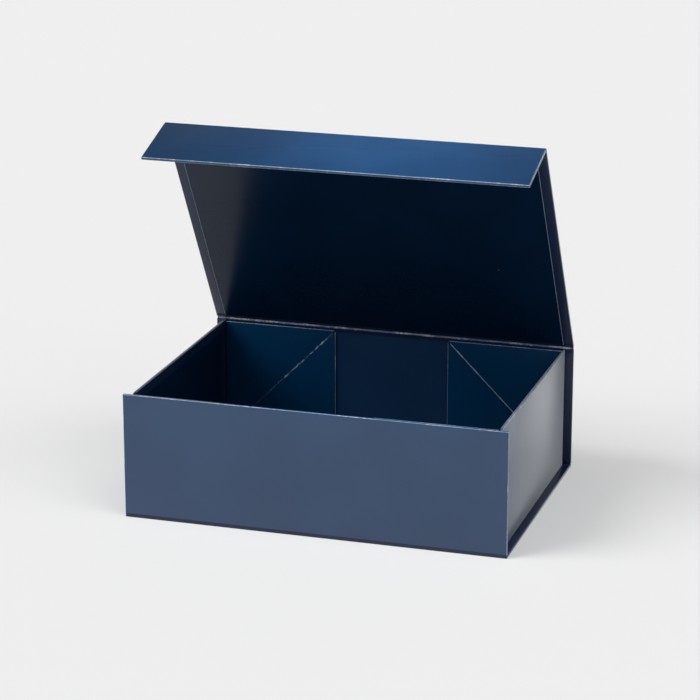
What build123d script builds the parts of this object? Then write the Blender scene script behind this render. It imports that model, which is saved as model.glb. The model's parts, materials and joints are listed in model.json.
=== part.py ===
from build123d import *
from math import cos, radians, sin
import os

# Magnetic gift box that folds flat: a paper-wrapped greyboard case with a lid and a magnet flap.
# Millimetres, +Z up, +X right, front of the box towards -Y.
# The origin is the middle of the base's underside, on the surface that the box stands on.

# Driving dimensions of the case
case_width = 330.0
case_depth = 234.0
closed_height = 111.0
flap_length = 59.7
board_thickness = 2.1
paper_thickness = 0.2
side_overhang = 6.5
flap_slack = 2.1

# Clearances
running_clearance = 0.3
crease_setback = 0.5
corner_gap = 3.8

# Lining sheets leave a margin of turned-in wrap on each free edge
lining_margin = 8.5

# Corner gussets: squares with a diagonal crease
gusset_thickness = 1.8
gusset_head_room = 1.5
gusset_side_gap = 0.4
gusset_crease = 1.6
gusset_backing_margin = 5.0

# Magnets in the flap and in the front wall
magnet_diameter = 15.0
magnet_thickness = 1.5
magnet_play = 0.2
magnet_spacing = 170.0
magnet_height = 67.0

# Pose in which the box is stored, in degrees: lid open from closed, flap folded from flat
lid_open_angle = 58.85
flap_fold_angle = 76.05

# Sizes that follow from those above
panel_thickness = board_thickness + 2 * paper_thickness
crease_step = panel_thickness + running_clearance
wall_top = closed_height - crease_step
lid_length = case_depth + flap_slack + panel_thickness
side_wall_outer_x = case_width / 2 - side_overhang
side_wall_inner_x = side_wall_outer_x - panel_thickness
gusset_outer_x = side_wall_inner_x - gusset_side_gap
gusset_foot = crease_step + running_clearance
gusset_side = wall_top - gusset_head_room - gusset_foot
side_wall_length = case_depth - 2 * (panel_thickness + gusset_thickness + corner_gap)


def leaf_plane(hinge_y, hinge_z, rise_angle):
    """Plane of a case leaf: X along its hinge, Y away from the hinge, Z from its outer face inwards.

    rise_angle is the leaf's direction, in degrees, turned from straight back over straight up.
    """
    along = (cos(radians(rise_angle)), sin(radians(rise_angle)))
    return Plane(origin=(0, hinge_y, hinge_z), x_dir=(1, 0, 0), z_dir=(0, -along[1], along[0]))


def slab(x_low, x_high, s_low, s_high, n_low, n_high):
    """Rectangular block between two corners, in a panel's own axes."""
    block = Box(x_high - x_low, s_high - s_low, n_high - n_low)
    return Pos((x_low + x_high) / 2, (s_low + s_high) / 2, (n_low + n_high) / 2) * block


def wrapped_panel(width, start, end, start_margin, end_margin, fin_start=None):
    """Greyboard panel in its paper wrap, with a lining sheet let into the turned-in paper.

    fin_start is where the wrap's outer skin begins when it runs on from the panel to its crease.
    """
    half = width / 2
    k = paper_thickness
    t = panel_thickness
    board = slab(-half + k, half - k, start + k, end - k, k, t - k)
    lining = slab(
        -half + lining_margin,
        half - lining_margin,
        start + start_margin,
        end - end_margin,
        t - k,
        t,
    )
    wrap = slab(-half, half, start, end, 0, t) - board - lining
    if fin_start is not None:
        wrap = wrap + slab(-half, half, fin_start, start, 0, k)
    return {"board": board, "wrap": wrap, "lining": lining}


def magnet_discs(s_centre):
    """Two magnet discs that lie just under a panel's lining."""
    top = panel_thickness - paper_thickness
    disc = Cylinder(magnet_diameter / 2, magnet_thickness)
    middle = top - magnet_thickness / 2
    return [Pos(side * magnet_spacing / 2, s_centre, middle) * disc for side in (-1, 1)]


def magnet_pockets(s_centre):
    """Blind round pockets that take the magnet discs with a little play."""
    top = panel_thickness - paper_thickness
    hole = Cylinder(magnet_diameter / 2 + magnet_play, magnet_thickness)
    middle = top - magnet_thickness / 2
    return [Pos(side * magnet_spacing / 2, s_centre, middle) * hole for side in (-1, 1)]


def prism(points, n_low, n_high, inset=0.0):
    """Straight-sided plate over a triangle, drawn in from its edges by inset."""
    outline = make_face(Polyline(*points, close=True))
    if inset > 0:
        outline = offset(outline, -inset, kind=Kind.INTERSECTION)
    plate = extrude(outline, amount=n_high - n_low, dir=(0, 0, 1))
    return Pos(0, 0, n_low) * plate


def gusset_fixed(side):
    """Lower triangle of a gusset, glued to its wall. side is +1 or -1 along the panel's X."""
    step = gusset_crease / 2 * 2 ** 0.5
    outer = gusset_outer_x
    inner = gusset_outer_x - gusset_side
    low = gusset_foot
    high = gusset_foot + gusset_side
    points = [(side * (outer - step), low), (side * inner, low), (side * inner, high - step)]
    n_low = panel_thickness
    n_high = panel_thickness + gusset_thickness
    k = paper_thickness
    board = prism(points, n_low, n_high - k, inset=k)
    cover = prism(points, n_low, n_high) - board
    return {"board": board, "cover": cover}


def gusset_fold(side):
    """Upper triangle of a gusset, free to turn about the diagonal crease."""
    step = gusset_crease / 2 * 2 ** 0.5
    outer = gusset_outer_x
    inner = gusset_outer_x - gusset_side
    low = gusset_foot
    high = gusset_foot + gusset_side
    points = [(side * outer, low + step), (side * outer, high), (side * (inner + step), high)]
    n_low = panel_thickness + running_clearance
    n_high = panel_thickness + gusset_thickness
    k = paper_thickness
    board = prism(points, n_low + k, n_high - k, inset=k)
    backing = prism(points, n_low, n_low + k, inset=gusset_backing_margin)
    cover = prism(points, n_low, n_high) - board - backing
    return {"board": board, "cover": cover, "backing": backing}


def place(plane, solids, prefix, nodes):
    """Puts each solid of a sub-part in the world and files it under its node's name."""
    for name, solid in solids.items():
        nodes[f"{prefix}_{name}"] = plane.location * solid


def build_case(nodes):
    """Base, spine, front wall, lid and flap, all cut from one wrapped case."""
    half_depth = case_depth / 2
    margin = lining_margin

    base_plane = leaf_plane(0, 0, 0)
    base_end = half_depth - crease_setback
    place(base_plane, wrapped_panel(case_width, -base_end, base_end, margin, margin), "base", nodes)

    spine_plane = leaf_plane(half_depth, 0, 90)
    spine = wrapped_panel(case_width, crease_step, wall_top, margin, 0, running_clearance)
    spine["wrap"] = spine["wrap"] + slab(
        -case_width / 2,
        case_width / 2,
        wall_top,
        closed_height - running_clearance,
        0,
        paper_thickness,
    )
    place(spine_plane, spine, "spine", nodes)

    front_plane = Plane(origin=(0, -half_depth, 0), x_dir=(-1, 0, 0), z_dir=(0, 1, 0))
    front = wrapped_panel(case_width, crease_step, wall_top, margin, margin, running_clearance)
    for pocket in magnet_pockets(magnet_height):
        front["board"] = front["board"] - pocket
    place(front_plane, front, "front_wall", nodes)
    for disc, label in zip(magnet_discs(magnet_height), ("right", "left")):
        nodes[f"front_wall_magnet_{label}"] = front_plane.location * disc

    lid_rise = 180 - lid_open_angle
    lid_plane = leaf_plane(half_depth, closed_height, lid_rise)
    lid = wrapped_panel(case_width, crease_setback, lid_length - crease_setback, 0, margin)
    place(lid_plane, lid, "lid", nodes)

    flap_y = half_depth + lid_length * cos(radians(lid_rise))
    flap_z = closed_height + lid_length * sin(radians(lid_rise))
    flap_plane = leaf_plane(flap_y, flap_z, lid_rise + flap_fold_angle)
    flap = wrapped_panel(case_width, crease_step, flap_length, margin, margin, running_clearance)
    flap_magnet_s = closed_height - magnet_height
    for pocket in magnet_pockets(flap_magnet_s):
        flap["board"] = flap["board"] - pocket
    place(flap_plane, flap, "flap", nodes)
    for disc, label in zip(magnet_discs(flap_magnet_s), ("left", "right")):
        nodes[f"flap_magnet_{label}"] = flap_plane.location * disc
    return {"back": spine_plane, "front": front_plane}


def build_side_walls(nodes):
    """Left and right walls, which stand on the base inside its overhang."""
    for label, side in (("left", -1), ("right", 1)):
        wall_plane = Plane(
            origin=(side * side_wall_outer_x, 0, 0),
            x_dir=(0, -side, 0),
            z_dir=(-side, 0, 0),
        )
        margin = lining_margin
        wall = wrapped_panel(side_wall_length, crease_step, wall_top, margin, margin)
        place(wall_plane, wall, f"{label}_wall", nodes)


def build_gussets(wall_planes, nodes):
    """Four gussets, two on the spine's inner face and two on the front wall's."""
    for wall, plane in wall_planes.items():
        for label, side in (("left", -1), ("right", 1)):
            local_side = side * plane.x_dir.X
            place(plane, gusset_fixed(local_side), f"gusset_{wall}_{label}_fixed", nodes)
            place(plane, gusset_fold(local_side), f"gusset_{wall}_{label}_fold", nodes)


def build_all():
    """Every piece of the box by node name."""
    nodes = {}
    wall_planes = build_case(nodes)
    build_side_walls(nodes)
    build_gussets(wall_planes, nodes)
    return nodes


os.makedirs("parts", exist_ok=True)
for node_name, node_shape in build_all().items():
    node_shape.label = node_name
    export_step(node_shape, f"parts/{node_name}.step")
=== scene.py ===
import json
import logging
from collections.abc import Callable, Iterator
from contextlib import contextmanager
from dataclasses import dataclass
from enum import Enum
from math import cos, radians, sin

import bmesh
import bpy
from mathutils import Matrix, Vector

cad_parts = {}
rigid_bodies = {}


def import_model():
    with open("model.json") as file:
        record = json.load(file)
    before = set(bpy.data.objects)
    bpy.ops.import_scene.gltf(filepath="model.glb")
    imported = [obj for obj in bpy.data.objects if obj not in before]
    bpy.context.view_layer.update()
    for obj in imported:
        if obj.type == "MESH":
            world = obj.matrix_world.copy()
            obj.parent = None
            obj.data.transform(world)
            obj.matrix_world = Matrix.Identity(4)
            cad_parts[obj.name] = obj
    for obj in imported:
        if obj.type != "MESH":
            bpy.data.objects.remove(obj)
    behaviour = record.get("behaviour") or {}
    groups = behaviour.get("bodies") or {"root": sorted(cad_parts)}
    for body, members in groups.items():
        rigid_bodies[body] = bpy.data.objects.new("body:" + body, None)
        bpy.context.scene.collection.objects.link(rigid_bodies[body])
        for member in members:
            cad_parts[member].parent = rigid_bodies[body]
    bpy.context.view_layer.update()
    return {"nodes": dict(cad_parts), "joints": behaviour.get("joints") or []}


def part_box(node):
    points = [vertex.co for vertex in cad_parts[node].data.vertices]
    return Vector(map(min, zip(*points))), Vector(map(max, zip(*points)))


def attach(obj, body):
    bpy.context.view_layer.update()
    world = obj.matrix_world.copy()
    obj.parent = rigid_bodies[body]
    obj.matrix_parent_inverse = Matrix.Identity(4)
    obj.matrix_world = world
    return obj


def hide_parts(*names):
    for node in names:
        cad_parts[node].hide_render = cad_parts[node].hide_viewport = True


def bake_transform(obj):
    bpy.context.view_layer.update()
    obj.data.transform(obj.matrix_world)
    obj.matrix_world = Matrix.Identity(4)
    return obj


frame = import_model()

LOG = logging.getLogger("gift_box")
MM = 0.001
# Points nearer to each other than this are taken as one
TOUCH = 0.01 * MM
# Least part of a normal along an axis for a face to count as facing that way, and as quite flat
FACING = 0.99
FLAT = 0.995
# The same for a face of a rounding that turns that way
TURNING = 0.1
# The same below which a face of a sheet is one of its sides
STEEP = 0.5
# Angle between faces above which an edge is rounded, and below which shading runs over it
SHARP_ABOVE = radians(40)
SMOOTH_BELOW = radians(30)
# How far past a rounding's radius its faces are still looked for
SLACK = 1.02
# A colour Mix node's sockets by number, because its other kinds have sockets of the same names
MIX_FIRST, MIX_SECOND, MIX_RESULT = 6, 7, 2


class Finish(Enum):
    """The finishes that the box is made of, by material name."""

    WRAP = "navy_wrap_paper"
    SIDE_WRAP = "navy_side_wrap_paper"
    # Turned-in paper: the navy wrap paper in darker colours, painted shade on the insides, in corners
    # and at the walls' feet
    TURN_IN = "navy_turned_in_paper"
    # Lining on the lid, base, flap and backing sheets: the lining paper painted darker, as shade
    LINING = "navy_lining_paper"
    # The same lining paper in lighter colours on the spine and front wall; the difference from the
    # darker lining is painted light and shade
    WALL_LINING = "navy_wall_lining_paper"
    GUSSET = "navy_gusset_paper"
    # Pale fold colour: a painted highlight on edges that catch the light, with rubbed patches
    FOLD = "rubbed_fold"
    # Hinge ridge colour: a painted highlight where the fold catches the light, with rubbed patches
    CREASE = "stretched_crease"
    CREASE_WORN = "cracked_crease"
    CUT = "cut_paper_edge"
    BOARD = "grey_board"
    NICKEL = "nickel_plate"


class Slot(Enum):
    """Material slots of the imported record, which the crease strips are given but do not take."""

    WRAP = "wrap_paper"
    LINING = "lining_paper"


class Half(Enum):
    """The two triangles of a gusset, as their nodes name them."""

    FIXED = "fixed"
    FOLD = "fold"


@dataclass(frozen=True)
class Leaf:
    """A board panel's own axes, with its place in the part.

    x runs across the panel, s away from its hinge, and n from its outer face to its inner face.
    """

    origin: Vector
    across: Vector
    along: Vector

    @property
    def inward(self) -> Vector:
        """Direction from the outer face to the inner face."""
        return self.across.cross(self.along)

    @property
    def matrix(self) -> Matrix:
        """Matrix from the panel's axes to the part's."""
        columns = (self.across, self.along, self.inward)
        turn = Matrix([[c[row] for c in columns] for row in range(3)]).to_4x4()
        return Matrix.Translation(self.origin) @ turn

    def at(self, x: float, s: float, n: float) -> Vector:
        """A point of the panel, in the part's axes."""
        return self.matrix @ Vector((x, s, n))


@dataclass(frozen=True)
class BoxSizes:
    """Sizes in metres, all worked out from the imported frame."""

    width: float
    half_depth: float
    closed_height: float
    wall_top: float
    panel: float
    paper: float
    step: float
    setback: float
    lid_length: float
    flap_length: float
    lining_margin: float
    side_outer_x: float
    side_half_length: float
    gusset_outer_x: float
    gusset_inner_x: float
    gusset_low: float
    gusset_high: float
    gusset_face: float
    fold_back: float
    lid_rise: float
    flap_fold: float

    @classmethod
    def from_frame(cls) -> "BoxSizes":
        """Reads the sizes off the CAD nodes and the joints.

        Returns:
            The sizes of the box as it was packed.
        """
        base_low, base_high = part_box("base_wrap")
        lining_low, lining_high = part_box("base_lining")
        spine_low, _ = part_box("spine_board")
        _, outer_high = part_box("spine_wrap")
        _, wall_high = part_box("right_wall_wrap")
        fixed_low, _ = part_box("gusset_back_right_fixed_cover")
        _, fold_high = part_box("gusset_back_right_fold_cover")
        board_low, board_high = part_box("flap_board")
        joints = {j["name"]: j for j in frame["joints"]}
        lid_pin = Vector(joints["lid_hinge"]["pos_m"])
        flap_pin = Vector(joints["flap_hinge"]["pos_m"])
        paper = lining_high[2] - lining_low[2]
        panel = base_high[2] - base_low[2]
        flap_fold = -radians(joints["flap_hinge"]["range_deg"][0])
        lid_rise = -radians(joints["lid_hinge"]["range_deg"][0])
        flap_drop = lid_rise + flap_fold
        board_run = board_high[1] - board_low[1] - (panel - 2 * paper) * abs(sin(flap_drop))
        step = spine_low[2] - paper
        return cls(
            width=base_high[0] - base_low[0],
            half_depth=outer_high[1],
            closed_height=lid_pin.z,
            wall_top=wall_high[2],
            panel=panel,
            paper=paper,
            step=step,
            setback=outer_high[1] - base_high[1],
            lid_length=(flap_pin - lid_pin).length,
            flap_length=step + 2 * paper + board_run / abs(cos(flap_drop)),
            lining_margin=lining_low[0] - base_low[0],
            side_outer_x=wall_high[0],
            side_half_length=wall_high[1],
            gusset_outer_x=fold_high[0],
            gusset_inner_x=fixed_low[0],
            gusset_low=fixed_low[2],
            gusset_high=fold_high[2],
            gusset_face=outer_high[1] - fixed_low[1],
            fold_back=outer_high[1] - fold_high[1],
            lid_rise=lid_rise,
            flap_fold=flap_fold,
        )


@dataclass(frozen=True)
class Leaves:
    """The axes of every panel of the box."""

    sizes: BoxSizes

    def base(self) -> Leaf:
        """The base, outer face down."""
        return Leaf(Vector((0, 0, 0)), Vector((1, 0, 0)), Vector((0, 1, 0)))

    def spine(self) -> Leaf:
        """The back wall."""
        return Leaf(Vector((0, self.sizes.half_depth, 0)), Vector((1, 0, 0)), Vector((0, 0, 1)))

    def front(self) -> Leaf:
        """The front wall."""
        return Leaf(Vector((0, -self.sizes.half_depth, 0)), Vector((-1, 0, 0)), Vector((0, 0, 1)))

    def side(self, side: int) -> Leaf:
        """A side wall.

        Args:
            side: -1 for the left wall and 1 for the right one.

        Returns:
            The wall's axes.
        """
        origin = Vector((side * self.sizes.side_outer_x, 0, 0))
        return Leaf(origin, Vector((0, -side, 0)), Vector((0, 0, 1)))

    def lid(self) -> Leaf:
        """The lid, as it stands open.

        Returns:
            The lid's axes. Its rise is counted from the lid laid right back, over upright.
        """
        rise = self.sizes.lid_rise
        along = Vector((0, cos(rise), sin(rise)))
        origin = Vector((0, self.sizes.half_depth, self.sizes.closed_height))
        return Leaf(origin, Vector((1, 0, 0)), along)

    def flap(self) -> Leaf:
        """The flap, as it stands out from the lid's front edge.

        Returns:
            The flap's axes.
        """
        lid = self.lid()
        turn = self.sizes.lid_rise + self.sizes.flap_fold
        along = Vector((0, cos(turn), sin(turn)))
        return Leaf(lid.at(0, self.sizes.lid_length, 0), Vector((1, 0, 0)), along)


def fresh() -> None:
    """Leaves edit mode and deselects everything."""
    if bpy.context.object is not None and bpy.context.object.mode != "OBJECT":
        bpy.ops.object.mode_set(mode="OBJECT")
    bpy.ops.object.select_all(action="DESELECT")


def pick(piece: bpy.types.Object) -> None:
    """Makes a piece the only selected and the active one."""
    fresh()
    piece.select_set(True)
    bpy.context.view_layer.objects.active = piece


@contextmanager
def editing(piece: bpy.types.Object) -> Iterator[None]:
    """Opens a piece in edit mode with nothing selected.

    Args:
        piece: the mesh object to edit.
    """
    pick(piece)
    bpy.ops.object.mode_set(mode="EDIT")
    bpy.ops.mesh.select_mode(type="VERT")
    bpy.ops.mesh.select_all(action="DESELECT")
    yield
    bpy.ops.object.mode_set(mode="OBJECT")


def select_faces(piece: bpy.types.Object, rule: Callable[[bmesh.types.BMFace], bool]) -> None:
    """Selects the faces of a piece in edit mode that a rule accepts.

    Args:
        piece: the piece, in edit mode.
        rule: which faces to select.
    """
    bpy.ops.mesh.select_mode(type="FACE")
    mesh = bmesh.from_edit_mesh(piece.data)
    for face in mesh.faces:
        face.select_set(rule(face))
    bmesh.update_edit_mesh(piece.data)


def select_edges(piece: bpy.types.Object, rule: Callable[[bmesh.types.BMEdge], bool]) -> None:
    """Selects the edges of a piece in edit mode that a rule accepts.

    Args:
        piece: the piece, in edit mode.
        rule: which edges to select.
    """
    bpy.ops.mesh.select_mode(type="EDGE")
    mesh = bmesh.from_edit_mesh(piece.data)
    for edge in mesh.edges:
        edge.select_set(rule(edge))
    bmesh.update_edit_mesh(piece.data)


def midpoint(edge: bmesh.types.BMEdge) -> Vector:
    """The middle of an edge."""
    return (edge.verts[0].co + edge.verts[1].co) / 2


def block(name: str, low: Vector, high: Vector, finishes: tuple[Finish, ...]) -> bpy.types.Object:
    """Adds a cube at its size and place, in a panel's own axes.

    Args:
        name: name of the piece.
        low: lowest corner.
        high: highest corner.
        finishes: the piece's finishes, in the order of its material slots.

    Returns:
        The new piece.
    """
    fresh()
    bpy.ops.mesh.primitive_cube_add(size=1, location=(low + high) / 2)
    piece = bpy.context.object
    piece.name = name
    piece.scale = high - low
    bpy.ops.object.transform_apply(location=True, rotation=True, scale=True)
    dress(piece, finishes)
    return piece


def dress(piece: bpy.types.Object, finishes: tuple[Finish, ...]) -> None:
    """Gives a piece its finishes.

    Args:
        piece: the piece or CAD node.
        finishes: one finish per material slot.
    """
    piece.data.materials.clear()
    for finish in finishes:
        piece.data.materials.append(bpy.data.materials[finish.value])


def round_edges(
    piece: bpy.types.Object,
    radius: float,
    rule: Callable[[bmesh.types.BMEdge], bool],
    segments: int = 3,
) -> None:
    """Rounds the edges of a piece that a rule accepts.

    Args:
        piece: the piece to shape.
        radius: radius of the rounding.
        rule: which edges to round.
        segments: faces across the rounding.
    """
    with editing(piece):
        select_edges(piece, rule)
        bpy.ops.mesh.bevel(offset=radius, segments=segments, profile=0.5, affect="EDGES")


def refinish(piece: bpy.types.Object, index: int, rule: Callable[[bmesh.types.BMFace], bool]) -> None:
    """Moves faces of a piece to another of its material slots.

    Args:
        piece: the piece to refinish.
        index: the material slot's number.
        rule: which faces to move.
    """
    with editing(piece):
        select_faces(piece, rule)
        piece.active_material_index = index
        bpy.ops.object.material_slot_assign()


def slanted(face: bmesh.types.BMFace) -> bool:
    """Whether a face belongs to a rounding, and not to a flat side."""
    return max(abs(axis) for axis in face.normal) < FLAT


def complete(
    piece: bpy.types.Object,
    replaces: tuple[str, ...] = (),
    matrix: Matrix | None = None,
) -> bpy.types.Object:
    """Puts a shaped piece in its place and gives it its shading.

    Args:
        piece: the finished mesh, in its panel's axes.
        replaces: CAD nodes that the piece stands for.
        matrix: from the panel's axes to the part's, if they differ.

    Returns:
        The piece.
    """
    if matrix is not None:
        piece.data.transform(matrix)
    with editing(piece):
        bpy.ops.mesh.select_all(action="SELECT")
        bpy.ops.mesh.normals_make_consistent(inside=False)
    pick(piece)
    bpy.ops.object.shade_smooth_by_angle(angle=SMOOTH_BELOW)
    if replaces:
        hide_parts(*replaces)
    LOG.info("%s: %d faces", piece.name, len(piece.data.polygons))
    return piece


@dataclass(frozen=True)
class WrappedPanel:
    """A board panel in turned-in wrap paper, with its lining sheet and mitred paper corners.

    Sides are pairs of directions: (1, 0) is the side at the end of x, (0, -1) the one at the start.
    The margins round the lining are those at the sides, at the start and at the end.
    """

    name: str
    body: str
    leaf: Leaf
    width: float
    start: float
    end: float
    thickness: float
    margins: tuple[float, float, float]
    mitred: tuple[tuple[int, int], ...] = ()
    # Sides whose folds are painted pale: a painted highlight with rubbed patches
    rubbed_and_highlit: tuple[tuple[int, int], ...] = ()
    pale_rim: bool = False
    wrap_finish: Finish = Finish.WRAP
    # The lid, base and flap take the darker lining, painted shade; the spine and front wall take the
    # lighter wall lining
    lining_finish: Finish = Finish.LINING
    fold_radius: float = 0.5 * MM
    rounded_end: float = 0.0
    lining_lift: float = 0.2 * MM
    rim: float = 0.4 * MM
    turn_in: float = 15 * MM
    turn_in_sink: float = 0.12 * MM
    inner_side: float = 0.8
    # Share of a rounded end's thickness, from its outer face, that is painted pale
    rubbed_and_highlit_share: float = 0.42
    mitre_lift: float = 0.12 * MM
    mitre_rounding: float = 0.8
    ears: float = 0.0
    ear_thickness: float = 0.55

    def build(self) -> None:
        """Builds the wrap, the lining and the mitres."""
        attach(self.wrap(), self.body)
        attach(self.lining(), self.body)
        if self.mitred:
            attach(self.mitres(), self.body)

    def wrap(self) -> bpy.types.Object:
        """The wrapped board: rounded paper folds and the step where the turned-in paper ends.

        Returns:
            The wrap in its place.
        """
        half = self.width / 2
        piece = block(
            f"{self.name}_wrap_paper",
            Vector((-half, self.start, 0)),
            Vector((half, self.end, self.thickness)),
            (self.wrap_finish, Finish.FOLD, Finish.TURN_IN),
        )
        if self.ears:
            self.add_ears(piece, half)
        if self.rounded_end:
            limit = self.end - TOUCH
            round_edges(
                piece, self.rounded_end, lambda edge: min(v.co.y for v in edge.verts) > limit, segments=5
            )
        round_edges(piece, self.fold_radius, lambda edge: edge.calc_face_angle(0) > SHARP_ABOVE)
        with editing(piece):
            select_faces(
                piece, lambda face: face.normal.z > FACING and abs(face.calc_center_median().x) < half
            )
            bpy.ops.mesh.inset(thickness=self.turn_in)
            bpy.ops.mesh.inset(thickness=self.fold_radius)
            bpy.ops.transform.translate(value=(0, 0, -self.turn_in_sink))
        # The inner faces take the turned-in paper, the wrap painted darker as shade
        refinish(piece, 2, lambda face: face.normal.z > self.inner_side)
        # The folds on the listed sides take the pale fold finish: a painted highlight with rubbed
        # patches
        refinish(piece, 1, self.is_rubbed_and_highlit)
        return complete(piece, (f"{self.name}_wrap",), self.leaf.matrix)

    def is_rubbed_and_highlit(self, face: bmesh.types.BMFace) -> bool:
        """Tells whether a face lies on the fold along one of the rubbed and highlit sides, which is
        painted pale.

        Args:
            face: a face of the wrap.

        Returns:
            True where the fold is painted pale: partly rubbed film, mostly a painted highlight where the
                fold catches the light. On a rounded end, that is its outer part alone.
        """
        place = face.calc_center_median()
        if self.rounded_end and place.z > self.thickness * self.rubbed_and_highlit_share:
            return False
        reach = max(self.fold_radius, self.rounded_end) * SLACK
        for across, along in self.rubbed_and_highlit:
            limit = across * self.width / 2 if across else self.end if along > 0 else self.start
            offset = abs((place.x if across else place.y) - limit)
            outward = face.normal.x * across + face.normal.y * along
            if offset < reach and outward > TURNING and (slanted(face) or self.rounded_end):
                return True
        return False

    def add_ears(self, piece: bpy.types.Object, half: float) -> None:
        """Draws the paper on past the board's ends, thinner, to where it meets the gussets.

        Args:
            piece: the panel's wrap, still a block.
            half: half of the board's width.
        """
        for side in (-1, 1):
            with editing(piece):
                select_faces(piece, lambda face: face.normal.x * side > FACING)
                bpy.ops.mesh.extrude_region_move(
                    TRANSFORM_OT_translate={"value": (side * self.ears, 0, 0)}
                )
                bpy.ops.transform.resize(
                    value=(1, 1, self.ear_thickness),
                    center_override=(side * (half + self.ears), 0, self.thickness),
                )

    def lining(self) -> bpy.types.Object:
        """The lining sheet, which lies on the turned-in wrap, with its cut rim.

        Returns:
            The sheet in its place.
        """
        side, low, high = self.margins
        half = self.width / 2 - side
        top = self.thickness + self.lining_lift
        piece = block(
            f"{self.name}_lining_paper",
            Vector((-half, self.start + low, self.thickness - self.turn_in_sink - self.lining_lift)),
            Vector((half, self.end - high, top)),
            (self.lining_finish, Finish.CUT if self.pale_rim else self.lining_finish),
        )
        with editing(piece):
            select_faces(piece, lambda face: face.normal.z > FACING)
            bpy.ops.mesh.inset(thickness=self.rim)
        edge_x = half - self.rim
        edge_low, edge_high = self.start + low + self.rim, self.end - high - self.rim

        def is_rim(face: bmesh.types.BMFace) -> bool:
            """Tells whether a face is a side of the sheet or its narrow rim.

            Args:
                face: a face of the sheet.

            Returns:
                True for a side, and for the rim where it is pale.
            """
            place = face.calc_center_median()
            outside = abs(place.x) > edge_x or not edge_low < place.y < edge_high
            return abs(face.normal.z) < STEEP or (self.pale_rim and outside)

        refinish(piece, 1, is_rim)
        return complete(piece, (f"{self.name}_lining",), self.leaf.matrix)

    def mitre(self, across: int, end: int) -> bpy.types.Object:
        """One half of a mitre: a folded paper triangle at a corner of the panel.

        Args:
            across: 1 at the end of x, -1 at its start.
            end: 1 at the panel's free end, -1 at its hinge.

        Returns:
            The triangle, in the panel's axes.
        """
        side, low, high = self.margins
        run = (low if end < 0 else high) or side
        corner = Vector((across * self.width / 2, self.end if end > 0 else self.start, 0))
        reach = Vector((corner.x - across * side, corner.y - end * run, 0))
        inset = Vector((self.fold_radius, self.fold_radius, -self.mitre_lift))
        face = Vector((0, 0, self.thickness))
        lowest = Vector((min(corner.x, reach.x), min(corner.y, reach.y), 0)) + face + inset
        highest = Vector((max(corner.x, reach.x), max(corner.y, reach.y), 0)) + face - inset
        # The mitre takes the turned-in paper, painted darker as shade
        piece = block(f"{self.name}_mitre", lowest, highest, (Finish.TURN_IN,))
        diagonal = (reach - corner).normalized()
        normal = Vector((-diagonal.y, diagonal.x, 0)) * across * end
        with editing(piece):
            bpy.ops.mesh.select_all(action="SELECT")
            bpy.ops.mesh.bisect(plane_co=corner, plane_no=normal, use_fill=True, clear_outer=True)
        rounding = self.mitre_lift * self.mitre_rounding
        round_edges(piece, rounding, lambda edge: midpoint(edge).z > self.thickness)
        return piece

    def mitres(self) -> bpy.types.Object:
        """The panel's mitres as one piece.

        Returns:
            The joined triangles in their place.
        """
        triangles = [self.mitre(across, end) for across, end in self.mitred]
        pick(triangles[0])
        for piece in triangles:
            piece.select_set(True)
        bpy.ops.object.join()
        joined = bpy.context.object
        joined.name = f"{self.name}_mitred_corners"
        return complete(joined, (), self.leaf.matrix)


@dataclass(frozen=True)
class PaperStrip:
    """A strip of paper along a profile, such as the paper that bridges a crease."""

    name: str
    profile: tuple[Vector, ...]
    across: Vector
    half: float
    finish: tuple[Finish, ...]
    slot: Slot
    thickness: float
    outward: float = -1.0
    ridge: tuple[int, ...] = ()
    cuts: int = 0
    unevenness: float = 0.0
    evenness_share: float = 0.2
    still_end: float = 0.05 * MM
    seed: int = 1

    def build(self) -> bpy.types.Object:
        """Adds a plane on the profile's first run and extrudes its far edge along the rest.

        Returns:
            The strip, not yet riding on anything.
        """
        first, second = self.profile[0], self.profile[1]
        run = second - first
        fresh()
        bpy.ops.mesh.primitive_plane_add(size=2)
        piece = bpy.context.object
        piece.name = self.name
        columns = (self.across * self.half, run / 2, self.across.cross(run).normalized())
        turn = Matrix([[c[row] for c in columns] for row in range(3)]).to_4x4()
        piece.matrix_world = Matrix.Translation((first + second) / 2) @ turn
        bpy.ops.object.transform_apply(location=True, rotation=True, scale=True)
        dress(piece, self.finish)
        with editing(piece):
            here = second
            select_edges(piece, lambda edge: (midpoint(edge) - here).length < TOUCH)
            for there in self.profile[2:]:
                bpy.ops.mesh.extrude_region_move(TRANSFORM_OT_translate={"value": there - here})
                here = there
        if self.ridge:
            refinish(piece, 1, lambda face: face.index in self.ridge)
        if self.cuts:
            self.ruffle(piece)
        pick(piece)
        wall = piece.modifiers.new("paper", "SOLIDIFY")
        wall.thickness = self.thickness
        wall.offset = self.outward
        bpy.ops.object.modifier_apply(modifier=wall.name)
        return complete(piece)

    def ruffle(self, piece: bpy.types.Object) -> None:
        """Cuts the strip crossways and moves its inner points a little, as crumpled paper lies.

        Args:
            piece: the strip, still without thickness.
        """
        ends = (self.profile[0], self.profile[-1])
        with editing(piece):
            select_edges(piece, self.is_lengthwise)
            bpy.ops.mesh.subdivide(number_cuts=self.cuts)
            mesh = bmesh.from_edit_mesh(piece.data)
            bpy.ops.mesh.select_mode(type="VERT")
            for vert in mesh.verts:
                off_ends = min(self.distance_across(vert.co, end) for end in ends)
                vert.select_set(off_ends > self.still_end)
            bmesh.update_edit_mesh(piece.data)
            bpy.ops.transform.vertex_random(
                offset=self.unevenness, uniform=self.evenness_share, seed=self.seed
            )

    def is_lengthwise(self, edge: bmesh.types.BMEdge) -> bool:
        """Whether an edge runs along the crease."""
        return abs((edge.verts[1].co - edge.verts[0].co).normalized().dot(self.across)) > FACING

    def distance_across(self, point: Vector, end: Vector) -> float:
        """Distance of a point from the line through a profile point along the strip."""
        offset = point - end
        return (offset - self.across * offset.dot(self.across)).length


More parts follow.
